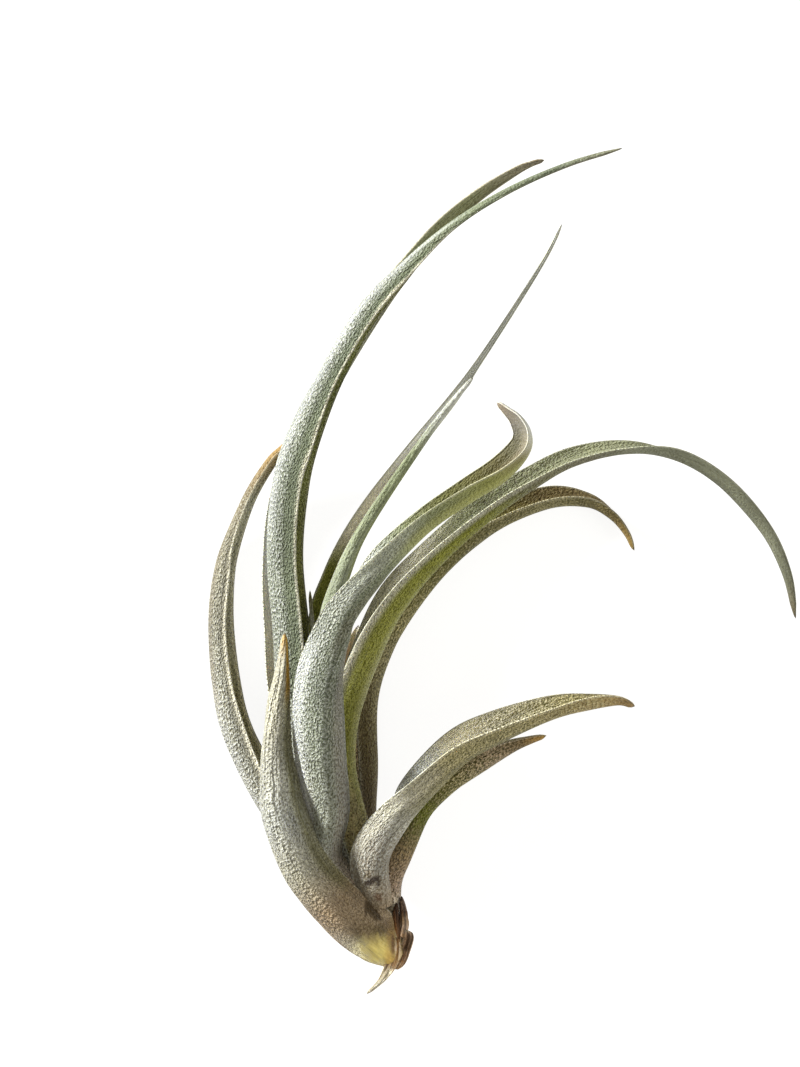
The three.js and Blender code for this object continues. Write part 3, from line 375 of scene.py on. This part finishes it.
# Stains and pale places: colour, centre, half sizes, turn of the long side, strength and the share of the
# radius that has all of it, as seen from above
BLEMISHES = {
    "leaf_front_left_short": [("umber", (-25.6, -73.6), (7.6, 6.4), -35, 0.65, 0.2),
        ("butter", (-26.6, -76.4), (6.2, 4.0), -35, 0.66, 0.3),
        ("lemon", (-24.6, -75.6), (5.0, 4.6), -40, 0.9, 0.2),
        ("gold", (-22.4, -77.0), (1.8, 3.0), 10, 0.6, 0.3),
        ("ochre", (-22.2, -72.6), (1.4, 4.6), 0, 0.7, 0.3),
        # the straw spot is the curled scale's pale fold, partly painted light, with the darker bark streak
        # beside it
        ("bark", (-21.9, -74.4), (0.6, 3.4), 0, 0.8, 0.4),
        ("straw", (-20.9, -75.0), (0.8, 3.4), 0, 0.9, 0.5),
        ("umber", (-24.4, -70.9), (2.6, 1.2), 10, 0.6, 0.4),
        ("pepper", (-22.6, -69.9), (2.0, 1.6), 10, 0.6, 0.4),
        ("brown", (-26.2, -67.4), (1.8, 1.0), -35, 1.0, 0.75),
        ("brown", (-25.2, -68.3), (1.1, 0.8), -60, 1.0, 0.75),
        ("brown", (-26.9, -66.0), (0.7, 1.1), 0, 0.9, 0.7)],
    "leaf_front_right_upper": [("dark", (-26.0, -61.2), (1.7, 0.8), 24, 0.85, 0.8),
        ("dark", (-24.7, -61.9), (0.8, 0.6), 60, 0.85, 0.8),
        ("umber", (-26.8, -60.1), (1.1, 0.7), 40, 0.6, 0.5),
        ("bark", (-24.9, -64.6), (0.9, 1.2), 60, 0.6, 0.5),
        ("drab", (-19.2, -40.8), (3.4, 2.0), 55, 0.5, 0.3)],
}

# Veins of the pale foot: where they spread from, centre, half sizes and turn of their oval, lines in a
# radian and strength
VEINS = {"leaf_front_left_short": ((-22.6, -79.6), (-25.4, -75.6), (6.4, 5.4), -35, 16, 0.3)}

# How the paint is laid
SIDE_BLEND = (0.3, 0.7)  # from the back's paint to the channel's, across the rounded margin
TISSUE_DARKER, SCALES_LIGHTER = 0.8, 1.15  # what a laid colour is in the tissue and in the scales
BAND_CORE = 0.4  # share of a band's half breadth that has all of it
BAND_FADE = 0.04  # share of the length over which its ends fade, each way
RIM_FROM = 0.96  # share of half the width from which the rim is paler: a painted highlight where the margins catch the light, over a pale fringe of scales
RIM_COVER = 0.2  # how much more the scales cover it
RIM_HIGHLIGHT_SHARE = 0.4  # how far the scales there take the colour of the rim, its painted highlight
BLEMISH_BARE = 0.4  # how far a blemish lays the tissue bare
RAGGED, RAGGED_RATE, RAGGED_SHIFT, RAGGED_SEED = 0.35, 1.6, (50, 120), 31  # edge of a blemish
VEIN_CORE = 0.3  # share of the veined oval that has all of it
VEIN_COVER = 0.8  # how much of it the scales cover
VEIN_SMOOTH = 0.85  # how much of the grain it loses
VEIN_LENGTH, VEIN_SHIFT, VEIN_SEED = 9, 4, 17  # noise along the veins, and its shift across

# Noises of the leaf materials: bumps a millimetre, detail, roughness and stretch
FINE = (3.0, 1.0, 0.5, (1, 0.6, 1))
COARSE = (1.4, 2.0, 0.5, (1, 0.5, 1))
MOTTLE = (0.14, 3.0, 0.6, (1, 0.5, 1))
STREAK = (1.5, 2.0, 0.5, (1, 0.05, 1))
WRINKLE = (1.7, 2.0, 0.5, (1, 0.07, 1))
NOISE_REACH = (0.3, 0.7)  # what most of a noise lies between
FINE_SHARE, COARSE_SHARE = 0.8, 0.2  # of the grain
COVER_GAIN = 0.42  # how far the cover lifts the grain
GRAIN_EDGE = 0.16  # half the range of grain in which the scales take over from the tissue
STREAK_LEAST = 0.6  # how strong the streaks are without wrinkles
BUMP_DEPTH = 0.002  # metres
SKIN = {"Roughness": 0.6, "Sheen_Roughness": 0.45, "Subsurface_Weight": 0.1,
        "Subsurface_Radius": (1.0, 0.9, 0.35), "Subsurface_Scale": 0.0006}
MIX_INPUTS, MIX_RESULT = (0, 6, 7), 2  # sockets of the Mix node: share and colours, result

# The leaf material of each slot: its name and settings
DRY = {"bump": 0.4, "crisp": 0.8, "streak": 0.4, "sheen": 0.0, "gloss": 0.2}
FINISHES = {
    "leaf_silver": ("leaf_silver_scaled", {"least": 0.1, "sheen": 0.05, "gloss": 0.3}),
    "leaf_green": ("leaf_green_scaled", {"crisp": 1.1, "mottle": 0.12, "sheen": 0.03, "gloss": 0.25}),
    "leaf_brown": ("leaf_brown_scaled", {"sheen": 0.03, "gloss": 0.25}),
    "scale_dark": ("scale_dark_dry", DRY),
    "scale_tan": ("scale_tan_dry", DRY),
    "stem": ("stem_fibrous", {"streak": 0.3, "sheen": 0.1, "gloss": 0.35}),
}

# The camera looks straight down on the plant, with a long lens
CAMERA_LENS = 200.0
CAMERA_SENSOR = 36.0
VIEW_LENGTH = 213.4  # what the long side of the picture takes in at VIEW_HEIGHT
VIEW_HEIGHT = 18.0
VIEW_CENTRE = (-20.5, 8.0)

# The floor and the lights, in metres
FLOOR_SIZE = 1.6
FLOOR_COLOURS = (0.34, 0.34, 0.338), (0.36, 0.36, 0.358)
FLOOR_NOISE = (60.0, 3.0, 0.5)
FLOOR_BUMP, FLOOR_BUMP_DEPTH = 0.05, 0.0002
FLOOR_ROUGHNESS = 0.85
FLOOR_GLOW = 0.85
SUN_FROM = (-0.861, 0.438, 0.259)
SUN_STRENGTH = 7.2
SUN_ANGLE = 9.0
FILL_STRENGTH = 4.2
FILL_SIZE = 0.6
FILL_PLACE = (0.9, -0.3, 0.3)
LIGHT_TARGET = (0, 0, 0.02)
SKY_COLOUR = (1.0, 0.95, 0.84, 1)
SKY_STRENGTH = 0.4


# Numbers, noise and curves
def colour_of(name):
    """A colour of the palette in linear values, by the sRGB curve."""
    value = np.array(PALETTE[name]) / 255
    return np.where(value <= 0.04045, value / 12.92, ((value + 0.055) / 1.055) ** 2.4)


def smooth(x, low, high):
    """0 below low, 1 above high and a smooth step between."""
    share = np.clip((np.asarray(x, float) - low) / (high - low), 0, 1)
    return share * share * (3 - 2 * share)


def between(levels, share):
    """The value at each share of a length, from levels at even steps along it."""
    return np.interp(share, np.linspace(0, 1, len(levels)), levels)


def lattice_noise(x, y, seed):
    """Smooth noise from 0 to 1 with one bump for each unit of x and y."""
    table = np.random.default_rng(seed).random((LATTICE, LATTICE))
    column, row = np.floor(x).astype(int), np.floor(y).astype(int)
    across, along = smooth(x - column, 0, 1), smooth(y - row, 0, 1)
    corner = [[table[(column + i) % LATTICE, (row + j) % LATTICE] for j in (0, 1)] for i in (0, 1)]
    near = corner[0][0] * (1 - across) + corner[1][0] * across
    far = corner[0][1] * (1 - across) + corner[1][1] * across
    return near * (1 - along) + far * along


def layered(layers, across, far, seed, shift=0):
    """The weight of each layer of relief, and its noise from -0.5 to 0.5."""
    for broad, long, onward, step, weight in layers:
        yield weight, lattice_noise(across / broad + shift, far / long + onward, seed + step) - 0.5


def curve_at(points, t):
    """A smooth curve through the points at station t, and its direction there."""
    last = len(points) - 1
    index = min(int(t), last - 1)
    share = t - index
    start, end = points[index], points[index + 1]
    before = points[index - 1] if index > 0 else 2 * start - end
    after = points[index + 2] if index + 2 <= last else 2 * end - start
    leave, arrive = (end - before) / 2, (after - start) / 2
    square = 3 * (end - start) - 2 * leave - arrive
    cube = 2 * (start - end) + leave + arrive
    place = start + leave * share + square * share ** 2 + cube * share ** 3
    return place, leave + 2 * square * share + 3 * cube * share ** 2


def unit(vector):
    return vector / np.linalg.norm(vector)


def directions(tangent, facing):
    """Unit vectors towards the channel and across the leaf."""
    tangent = unit(tangent)
    left = unit(np.array([-tangent[1], tangent[0], 0]))
    up = np.cross(tangent, left)
    face = left * math.cos(facing) + up * math.sin(facing)
    breadth = up * math.cos(facing) - left * math.sin(facing)
    return face, breadth


# The form of a leaf
def half_section(width, curl, columns):
    """Across, depth and turn of the blade from midrib to margin."""
    broad = smooth(width, NARROW, BROAD)
    keel = 1 + (KEEL - 1) * broad

    def turn_at(share):
        wave = np.sin(2 * math.pi * np.clip(2 * share - 1, 0, 1))
        return curl * share ** keel + FLARE * broad * wave

    fine = SUMS * columns
    turn = turn_at((np.arange(fine) + 0.5) / fine)
    across = np.concatenate([[0], np.cumsum(np.cos(turn))]) * width / 2 / fine
    deep = np.concatenate([[0], np.cumsum(np.sin(turn))]) * width / 2 / fine
    return across[::SUMS], deep[::SUMS], turn_at(np.arange(columns + 1) / columns)


def leaf_ring(points, t, columns, thin):
    """One ring, from the back by the rim to the channel and round, its places across, and its centre."""
    place, direction = curve_at(points, t)
    width, curl, facing = place[3], math.radians(place[4]), math.radians(place[5])
    face, breadth = directions(direction[:3], facing)
    across, deep, turn = half_section(width, curl, columns)
    rib = min(RIB_MOST, RIB_LEAST + RIB_SLOPE * width) * thin
    column = np.arange(columns, -columns - 1, -1)
    sign, size = np.sign(column), np.abs(column)
    flat, depth, tilt = sign * across[size], deep[size] - deep[-1] / 2, sign * turn[size]
    thick = (rib + (MARGIN * thin - rib) * (size / columns) ** 2) / 2
    rows, shares = [], []
    for side in (-1, 1):
        # the back runs from the first column to the last, and the channel the other way
        order = slice(None, None, -side)
        blade = np.stack([flat - side * np.sin(tilt) * thick, depth + side * np.cos(tilt) * thick], 1)
        rows.append(blade[order])
        shares.append((column / columns)[order])
        rim = np.array([flat[order][-1], depth[order][-1]])
        out = np.array([side * math.cos(turn[-1]), math.sin(turn[-1])])
        normal = np.array([-side * math.sin(turn[-1]), math.cos(turn[-1])])
        half = MARGIN * thin / 2
        angles = side * RIM_ANGLES
        rows.append(np.array([rim + (out * math.cos(a) + normal * math.sin(a)) * half for a in angles]))
        shares.append(np.full(len(angles), float(side)))
    section = np.concatenate(rows)
    ring = place[:3] + np.outer(section[:, 0], breadth) + np.outer(section[:, 1], face)
    return ring, np.concatenate(shares) * width / 2, place[:3]


def ring_places(points, step):
    """Station values of evenly spaced rings, and the distance of each from the foot."""
    fine = np.linspace(0, len(points) - 1, SAMPLES * len(points))
    places = np.array([curve_at(points, t)[0][:3] for t in fine])
    length = np.concatenate([[0], np.cumsum(np.linalg.norm(np.diff(places, axis=0), axis=1))])
    along = np.linspace(0, length[-1], max(RINGS_LEAST, int(length[-1] / step)))
    return np.interp(along, length, fine), along


def leaf_grid(points, thin, step):
    """Rings of points, their places across and along, which side each is on, and the leaf's width."""
    stations, along = ring_places(points, step)
    widest = points[:, 3].max()
    columns = int(np.clip(widest / 2 / STEP_ACROSS, COLUMNS_LEAST, COLUMNS_MOST))
    end = len(points) - 1
    rings, across = [], []
    for t in stations[:-1]:
        ring, shares, centre = leaf_ring(points, t, columns, thin)
        if t > end - TIP:
            ring = centre + (ring - centre) * ((end - t) / TIP) ** TIP_ROUND
        rings.append(ring)
        across.append(shares)
    count = 2 * columns + 1
    rim = len(RIM_ANGLES)
    channel = np.concatenate([np.zeros(count), np.full(rim, 0.5), np.ones(count), np.full(rim, 0.5)])
    width = np.interp(stations[:-1], range(len(points)), points[:, 3])
    return np.array(rings), np.array(across), along[:-1], channel, width[:, None]


def grid_normals(rings):
    """The outward direction at each point of the rings."""
    around = np.roll(rings, -1, axis=1) - np.roll(rings, 1, axis=1)
    onward = np.gradient(rings, axis=0)
    normal = np.cross(around, onward)
    return normal / np.maximum(np.linalg.norm(normal, axis=2, keepdims=True), TINY)


def low_relief(name, seed, across, far, share, breadth, width, side):
    """How far a leaf's surface stands out, fading at its margins and its foot."""
    folds = sum(weight * noise for weight, noise in layered(FOLD_LAYERS, across, far, seed, side))
    dents = sum(weight * noise for weight, noise in layered(DENT_LAYERS, across, far, seed, side))
    inside = 1 - smooth(np.abs(breadth), RELIEF_EDGE, 1.0)
    broad = np.minimum(1, width / RELIEF_WIDTH)
    onward = FOOT_RELIEF + (1 - FOOT_RELIEF) * smooth(share, *FOOT_FADE)
    return 2 * (folds * FOLDS.get(name, FOLDS_MOST) + dents * DENTS) * inside * broad * onward


def creases(across, far, seed):
    """Sharp folds, as in something papery that dried and shrank: from -1 to 0."""
    ridges = sum(weight * np.abs(noise) * 2 for weight, noise in layered(CREASE_LAYERS, across, far, seed))
    return -ridges / sum(layer[-1] for layer in CREASE_LAYERS)


def add_object(name, data):
    made = bpy.data.objects.new(name, data)
    bpy.context.scene.collection.objects.link(made)
    return made


def closed_mesh(name, rings, first, last):
    """A closed mesh through rings of points, with a point at each end, as a new object."""
    steps, count, _ = rings.shape
    points = np.concatenate([rings.reshape(-1, 3), [first, last]]) + FOOT
    points[:, 2] = np.maximum(points[:, 2], 0)      # the lowest leaves lie flat on the floor
    here = np.arange(count)
    after = (here + 1) % count
    faces = []
    for r in range(steps - 1):
        low = r * count
        faces += np.stack([low + here, low + after, low + count + after, low + count + here], 1).tolist()
    foot, tip, top = steps * count, steps * count + 1, (steps - 1) * count
    faces += [(foot, int(j), int(i)) for i, j in zip(here, after)]
    faces += [(tip, top + int(i), top + int(j)) for i, j in zip(here, after)]
    mesh = bpy.data.meshes.new(name)
    mesh.from_pydata((points * MM).tolist(), [], faces)
    mesh.polygons.foreach_set("use_smooth", np.ones(len(mesh.polygons), bool))
    mesh.update()
    return add_object(name, mesh)


# Paint on the points of a mesh
def store(piece, name, kind, values):
    """Keeps a value for each point of the mesh, for its material to read."""
    attribute = piece.data.attributes.new(name, kind, "POINT")
    key = {"FLOAT": "value", "FLOAT_VECTOR": "vector", "FLOAT_COLOR": "color"}[kind]
    attribute.data.foreach_set(key, np.asarray(values, np.float32).ravel())


def dress(piece, tissue, scales, cover, grit, place, wrinkle):
    """Stores what the leaf materials read: colours, cover, grain, place on the leaf and wrinkles."""
    solid = np.ones((len(tissue), 1))
    store(piece, "tissue", "FLOAT_COLOR", np.hstack([tissue, solid]))
    store(piece, "scales", "FLOAT_COLOR", np.hstack([scales, solid]))
    store(piece, "cover", "FLOAT", cover)
    store(piece, "grit", "FLOAT", grit)
    store(piece, "place", "FLOAT_VECTOR", place)
    store(piece, "wrinkle", "FLOAT", between(wrinkle, place[:, 1] / place[:, 1].max()))


def paint_along(rows, share):
    """Tissue colour, scale colour and cover at each share of a leaf's length."""
    at = [row[0] for row in rows]
    colours = []
    for part in (1, 2):
        table = np.array([colour_of(row[part]) for row in rows])
        colours.append(np.stack([np.interp(share, at, table[:, k]) for k in range(3)], -1))
    return *colours, np.interp(share, at, [row[3] for row in rows])


def leaf_paint(name, share, breadth, channel):
    """Tissue colour, scale colour and cover at each point of a leaf, with its bands and its rim, paler with
    a painted highlight.
    """
    back, front = [paint_along(rows, share) for rows in PAINT[name]]
    facing = smooth(channel, *SIDE_BLEND) + np.zeros_like(share)    # 0 on the back and 1 in the channel
    pick = facing[..., None]
    tissue = back[0] * (1 - pick) + front[0] * pick
    scales = back[1] * (1 - pick) + front[1] * pick
    cover = back[2] * (1 - facing) + front[2] * facing
    for key, colour, middle, half, start, end, strength in BANDS.get(name, []):
        band = 1 - smooth(np.abs(breadth - middle) / half, BAND_CORE, 1.0)
        begun = smooth(share, start - BAND_FADE, start + BAND_FADE)
        ended = smooth(share, end - BAND_FADE, end + BAND_FADE)
        band *= begun * (1 - ended)
        band = (band * strength * (facing if key == "channel" else 1 - facing))[..., None]
        tissue = tissue * (1 - band) + colour_of(colour) * TISSUE_DARKER * band
        scales = scales * (1 - band) + colour_of(colour) * SCALES_LIGHTER * band
    # the margins get more scales and a painted highlight, where they catch the light
    if name not in CREASES:
        rim = smooth(np.abs(breadth), RIM_FROM, 1.0)
        cover = cover + RIM_COVER * rim
        rim = rim[..., None]
        scales = scales * (1 - RIM_HIGHLIGHT_SHARE * rim) + colour_of("rim") * RIM_HIGHLIGHT_SHARE * rim
    return tissue, scales, np.clip(cover, 0, 1)


def spot(xy, centre, size, turn, core):
    """1 in the core of an oval seen from above, falling to 0 at its ragged edge."""
    turn = math.radians(turn)
    away = xy - np.array(centre)
    u = (away[:, 0] * math.cos(turn) + away[:, 1] * math.sin(turn)) / size[0]
    v = (away[:, 1] * math.cos(turn) - away[:, 0] * math.sin(turn)) / size[1]
    shifted = xy * RAGGED_RATE + np.array(RAGGED_SHIFT)
    ragged = RAGGED * (lattice_noise(shifted[:, 0], shifted[:, 1], RAGGED_SEED) - 0.5)
    return 1 - smooth(np.hypot(u, v) + ragged, core, 1.0)


def blemish(name, xy, tissue, scales, cover, grit):
    """Lays the stains and the veined pale foot over the paint of the leaves that have them."""
    for colour, centre, size, turn, strength, core in BLEMISHES.get(name, []):
        share = (spot(xy, centre, size, turn, core) * strength)[:, None]
        tissue = tissue * (1 - share) + colour_of(colour) * share
        scales = scales * (1 - share) + colour_of(colour) * SCALES_LIGHTER * share
        cover = cover * (1 - BLEMISH_BARE * share)
    if name in VEINS:
        origin, centre, size, turn, count, strength = VEINS[name]
        away = xy - np.array(origin)
        angle = np.arctan2(away[:, 1], away[:, 0])
        out = np.hypot(away[:, 0], away[:, 1])
        lines = lattice_noise((angle + VEIN_SHIFT) * count, out / VEIN_LENGTH, VEIN_SEED) - 0.5
        inside = spot(xy, centre, size, turn, VEIN_CORE)[:, None]
        gain = 1 + 2 * strength * lines[:, None] * inside
        tissue, scales = tissue * gain, scales * gain
        grit = grit * (1 - VEIN_SMOOTH * inside)
        cover = cover + (VEIN_COVER - cover) * inside
    return tissue, scales, cover, grit


# The pieces
def build_leaf(name, seed):
    """One leaf or dry piece from its stations, with low relief and its paint."""
    points = np.array(STATIONS[name], float)
    points[:, 3] *= between(WIDER.get(name, (1,)), np.linspace(0, 1, len(points)))
    step = STEP_DRY if name in CREASES else STEP_ALONG
    rings, across, along, channel, width = leaf_grid(points, THIN.get(name, 1.0), step)
    steps, count, _ = rings.shape
    far = along[:, None] + np.zeros(count)
    share = far / along[-1]
    breadth = across / np.maximum(width / 2, HALF_LEAST)
    relief = low_relief(name, seed, across, far, share, breadth, width, channel * SIDE_SHIFT)
    rings = rings + grid_normals(rings) * relief[..., None]
    if name in CREASES:
        # both faces of the blade move alike, so that it stays as thin as it is
        bend = creases(across, far, seed) * CREASES[name]
        direction = curve_at(points, len(points) / 2)[1][:3]
        face, _ = directions(direction, math.radians(points[1, 5]))
        rings = rings + face * bend[..., None]
    foot = rings[0].mean(0) - unit(curve_at(points, 0)[1][:3]) * LEAF_DOME
    tip = points[-1, :3]
    piece = closed_mesh(name + "_skin", rings, foot, tip)
    tissue, scales, cover = leaf_paint(name, share, breadth, channel)
    grit = between(GRITS.get(name, (1,)), share)
    grit *= NARROW_GRIT + (1 - NARROW_GRIT) * smooth(width, *GRIT_WIDTHS)
    place = np.stack([across, far, channel * PLACE_SIDE + np.zeros_like(far) + PLACE_LEAF * seed], -1)
    flat = [v.reshape(steps * count, -1) for v in (tissue, scales, cover, grit, place)]
    tissue, scales, cover, grit, place = [np.vstack([v, v[0], v[-1]]) for v in flat]
    xy = (np.vstack([rings.reshape(-1, 3), foot, tip]) + FOOT)[:, :2]
    tissue, scales, cover, grit = blemish(name, xy, tissue, scales, cover, grit)
    dress(piece, tissue, scales, cover, grit, place, WRINKLES.get(name, WRINKLES_MOST))
    return piece


def build_stem():
    """The stem, with the rings of old leaf scars round it."""
    points = np.array(STEM_LINE, float)
    stations, along = ring_places(points, STEP_ALONG)
    angle = np.linspace(0, 2 * math.pi, STEM_SIDES, endpoint=False)
    round_x, round_y = [ROUGH_TURN * wave(angle) + ROUGH_SHIFT for wave in (np.cos, np.sin)]
    rings = []
    for t, far in zip(stations, along):
        centre, direction = curve_at(points, t)
        face, breadth = directions(direction, 0)
        radius = np.interp(t, range(len(STEM_RADIUS)), STEM_RADIUS)
        rough = lattice_noise(round_x, round_y + far, ROUGH_SEED) - 0.5
        scar = SCAR_DEPTH * math.sin(far * SCAR_RATE) + ROUGH_DEPTH * rough
        out = np.outer(np.cos(angle), breadth) - np.outer(np.sin(angle), face)
        rings.append(centre + out * (radius - STEM_SUNK + scar)[:, None])
    ends = [curve_at(points, t) for t in (0, len(points) - 1)]
    tops = [place + sign * unit(direction) * STEM_DOME for sign, (place, direction) in zip((-1, 1), ends)]
    piece = closed_mesh("stem_skin", np.array(rings), *tops)
    far = np.repeat(along, STEM_SIDES)
    place = np.stack([np.tile(angle * STEM_SPAN, len(along)), far, 0 * far + STEM_PLACE], 1)
    place = np.vstack([place, place[0], place[-1]])
    tissue, scales, cover = paint_along(PAINT["stem"][0], place[:, 1] / along[-1])
    dress(piece, tissue, scales, cover, np.ones(len(cover)), place, WRINKLES["stem"])
    return piece


# Materials
class Shader:
    """A material's nodes, with a short way to add and link them."""

    def __init__(self, name):
        self.material = bpy.data.materials.new(name)
        self.material.use_nodes = True
        self.tree = self.material.node_tree
        self.tree.nodes.clear()

    def node(self, kind, links=(), **settings):
        """Adds a node. settings are its properties, and its inputs where the name starts with in_."""
        made = self.tree.nodes.new("ShaderNode" + kind)
        for key, value in settings.items():
            if key.startswith("in_"):
                made.inputs[key[3:].replace("_", " ")].default_value = value
            else:
                setattr(made, key, value)
        for name, source in dict(links).items():
            self.tree.links.new(source, made.inputs[name])
        return made

    def fill(self, socket, value):
        """Gives a socket a link, a number, or a colour of three values."""
        if isinstance(value, tuple):
            socket.default_value = (*value, 1)
        elif isinstance(value, (int, float)):
            socket.default_value = value
        else:
            self.tree.links.new(value, socket)

    def read(self, name, output):
        return self.node("Attribute", attribute_name=name).outputs[output]

    def noise(self, vector, scale, detail, rough, stretch=(1, 1, 1)):
        """Noise from 0 to 1 with about scale bumps a unit, drawn out by stretch."""
        mapped = self.node("Mapping", {"Vector": vector}, in_Scale=tuple(scale * s for s in stretch))
        made = self.node("TexNoise", {"Vector": mapped.outputs["Vector"]}, in_Scale=1.0,
                         in_Detail=detail, in_Roughness=rough)
        return made.outputs["Fac"]

    def ramp(self, value, low, high, out_low=0.0, out_high=1.0):
        made = self.node("MapRange", {"Value": value}, interpolation_type="SMOOTHSTEP", in_From_Min=low,
                         in_From_Max=high, in_To_Min=out_low, in_To_Max=out_high)
        return made.outputs["Result"]

    def maths(self, operation, first, second):
        made = self.node("Math", operation=operation)
        for socket, value in zip(made.inputs, (first, second)):
            self.fill(socket, value)
        return made.outputs["Value"]

    def mix(self, share, first, second, blend="MIX"):
        made = self.node("Mix", data_type="RGBA", blend_type=blend)
        for index, value in zip(MIX_INPUTS, (share, first, second)):
            self.fill(made.inputs[index], value)
        return made.outputs[MIX_RESULT]

    def finish(self, colour, height, bump, depth, **sockets):
        """Ends the material in one shader. sockets are its inputs, with _ for a blank."""
        bumped = self.node("Bump", {"Height": height}, in_Strength=bump, in_Distance=depth)
        shader = self.node("BsdfPrincipled", {"Base Color": colour, "Normal": bumped.outputs["Normal"]})
        for key, value in sockets.items():
            shader.inputs[key.replace("_", " ")].default_value = value
        self.node("OutputMaterial", {"Surface": shader.outputs["BSDF"]})
        return self.material


def leaf_material(name, sheen, gloss, bump=1.0, crisp=1.0, least=0.0, mottle=0.14, streak=0.10):
    """Tissue under a coat of pale scales: fine grains of both, streaks along the leaf and slow mottling."""
    s = Shader(name)
    place = s.read("place", "Vector")
    tissue, scales = s.read("tissue", "Color"), s.read("scales", "Color")
    cover, grit, wrinkle = [s.read(key, "Fac") for key in ("cover", "grit", "wrinkle")]
    fine = s.maths("MULTIPLY", s.noise(place, *FINE), FINE_SHARE)
    coarse = s.maths("MULTIPLY", s.noise(place, *COARSE), COARSE_SHARE)
    height = s.maths("SUBTRACT", s.maths("ADD", fine, coarse), 0.5)
    height = s.maths("ADD", s.maths("MULTIPLY", height, grit), 0.5)
    lift = s.maths("MULTIPLY", s.maths("SUBTRACT", cover, 0.5), COVER_GAIN)
    level = s.maths("ADD", height, lift)
    edge = GRAIN_EDGE / crisp
    colour = s.mix(s.ramp(level, 0.5 - edge, 0.5 + edge, least), tissue, scales)
    slow = s.ramp(s.noise(place, *MOTTLE), *NOISE_REACH, 1 - mottle, 1 + mottle)
    lines = s.ramp(s.noise(place, *STREAK), *NOISE_REACH, -streak, streak)
    lines = s.maths("MULTIPLY", lines, s.maths("ADD", wrinkle, STREAK_LEAST))
    gain = s.maths("MULTIPLY", slow, s.maths("ADD", lines, 1.0))
    grey = s.node("CombineColor")
    for socket in grey.inputs:
        s.tree.links.new(gain, socket)
    colour = s.mix(1.0, colour, grey.outputs["Color"], "MULTIPLY")
    relief = s.maths("ADD", level, s.maths("MULTIPLY", s.noise(place, *WRINKLE), wrinkle))
    return s.finish(colour, relief, 1.0, BUMP_DEPTH * bump, Sheen_Weight=sheen, Specular_IOR_Level=gloss,
                    **SKIN)


def floor_material():
    s = Shader("floor_pale")
    place = s.node("TexCoord").outputs["Object"]
    tone = s.ramp(s.noise(place, *FLOOR_NOISE), *NOISE_REACH)
    colour = s.mix(tone, *FLOOR_COLOURS)
    return s.finish(colour, tone, FLOOR_BUMP, FLOOR_BUMP_DEPTH, Roughness=FLOOR_ROUGHNESS,
                    Emission_Color=(1, 1, 1, 1), Emission_Strength=FLOOR_GLOW)


# The room
def place_camera():
    data = bpy.data.cameras.new("camera")
    data.lens, data.sensor_width = CAMERA_LENS, CAMERA_SENSOR
    camera = add_object("camera", data)
    distance = VIEW_LENGTH * CAMERA_LENS / CAMERA_SENSOR
    camera.location = (VIEW_CENTRE[0] * MM, VIEW_CENTRE[1] * MM, (VIEW_HEIGHT + distance) * MM)
    bpy.context.scene.camera = camera


def place_floor():
    corner = FLOOR_SIZE / 2
    mesh = bpy.data.meshes.new("floor")
    corners = [(-corner, -corner, 0), (corner, -corner, 0), (corner, corner, 0), (-corner, corner, 0)]
    mesh.from_pydata(corners, [], [(0, 1, 2, 3)])
    floor = add_object("floor", mesh)
    floor.data.materials.append(floor_material())
    floor.visible_diffuse = False       # its glow keeps the floor pale, and doesn't light the plant


def place_light(kind, energy, place, **settings):
    data = bpy.data.lights.new(kind.lower() + "_light", kind)
    data.energy = energy
    for key, value in settings.items():
        setattr(data, key, value)
    lamp = add_object(data.name, data)
    lamp.location = place
    lamp.rotation_euler = (Vector(place) - Vector(LIGHT_TARGET)).to_track_quat("Z", "Y").to_euler()


def light_room():
    place_light("SUN", SUN_STRENGTH, SUN_FROM, angle=math.radians(SUN_ANGLE))
    place_light("AREA", FILL_STRENGTH, FILL_PLACE, shape="DISK", size=FILL_SIZE)
    world = bpy.data.worlds.new("room")
    bpy.context.scene.world = world
    world.use_nodes = True
    background = world.node_tree.nodes["Background"]
    background.inputs["Color"].default_value = SKY_COLOUR
    background.inputs["Strength"].default_value = SKY_STRENGTH


# Each piece takes the place of the solid of its name
SLOTS = {node["node"]: node["material_slot"] for node in frame["record"]["subparts"]}
MATERIALS = {slot: leaf_material(name, **settings) for slot, (name, settings) in FINISHES.items()}


def finish_piece(piece, node):
    piece.data.materials.append(MATERIALS[SLOTS[node]])
    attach(piece, BODY)
    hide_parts(node)


def main():
    place_camera()
    place_floor()
    light_room()
    for seed, name in enumerate(STATIONS, start=1):
        finish_piece(build_leaf(name, seed), name)
    finish_piece(build_stem(), "stem")
    bpy.context.scene.view_settings.view_transform = "Standard"


main()
